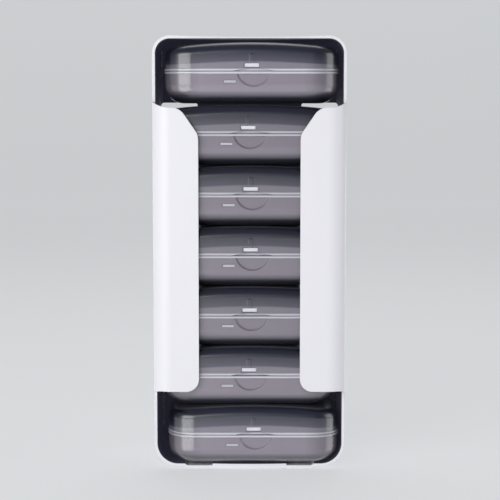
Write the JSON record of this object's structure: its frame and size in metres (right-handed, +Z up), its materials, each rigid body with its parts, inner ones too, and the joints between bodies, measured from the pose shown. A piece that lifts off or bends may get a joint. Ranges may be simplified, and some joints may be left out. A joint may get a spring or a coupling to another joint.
{
  "type": "weekly pill organizer",
  "caption": "White upright sleeve with front flaps and back windows that holds a column of smoke-grey flip-lid pill boxes.",
  "frame": {"origin": "middle of the footprint, on the plane the foot stands on", "axes": "+Z up, +X to the right seen from the front; the front with the slot between the flaps faces -Y"},
  "size_m": [0.0874, 0.052, 0.1976],
  "materials": {
    "white_plastic": "satin, moulded",
    "smoke_plastic": "smooth, slightly translucent",
    "pale_plastic": "satin",
    "steel": "plain rod"
  },
  "bodies": {
    "sleeve": {"sleeve": "white_plastic", "base_2": "smoke_plastic", "lid_2": "smoke_plastic", "hinge_pin_2": "steel", "catch_2": "pale_plastic", "day_mark_2": "pale_plastic", "base_3": "smoke_plastic", "lid_3": "smoke_plastic", "hinge_pin_3": "steel", "catch_3": "pale_plastic", "day_mark_3": "pale_plastic", "base_4": "smoke_plastic", "lid_4": "smoke_plastic", "hinge_pin_4": "steel", "catch_4": "pale_plastic", "day_mark_4": "pale_plastic", "base_5": "smoke_plastic", "lid_5": "smoke_plastic", "hinge_pin_5": "steel", "catch_5": "pale_plastic", "day_mark_5": "pale_plastic", "base_6": "smoke_plastic", "lid_6": "smoke_plastic", "hinge_pin_6": "steel", "catch_6": "pale_plastic", "day_mark_6": "pale_plastic"},
    "box_1": {"base_1": "smoke_plastic", "lid_1": "smoke_plastic", "hinge_pin_1": "steel", "catch_1": "pale_plastic", "day_mark_1": "pale_plastic"},
    "box_7": {"base_7": "smoke_plastic", "lid_7": "smoke_plastic", "hinge_pin_7": "steel", "catch_7": "pale_plastic", "day_mark_7": "pale_plastic"}
  },
  "joints": [
    {"name": "box_1_slide", "type": "slide", "parent": "sleeve", "child": "box_1", "axis": [0, -1, 0], "range_m": [0, 0.055]},
    {"name": "box_7_slide", "type": "slide", "parent": "sleeve", "child": "box_7", "axis": [0, -1, 0], "range_m": [0, 0.055]}
  ]
}
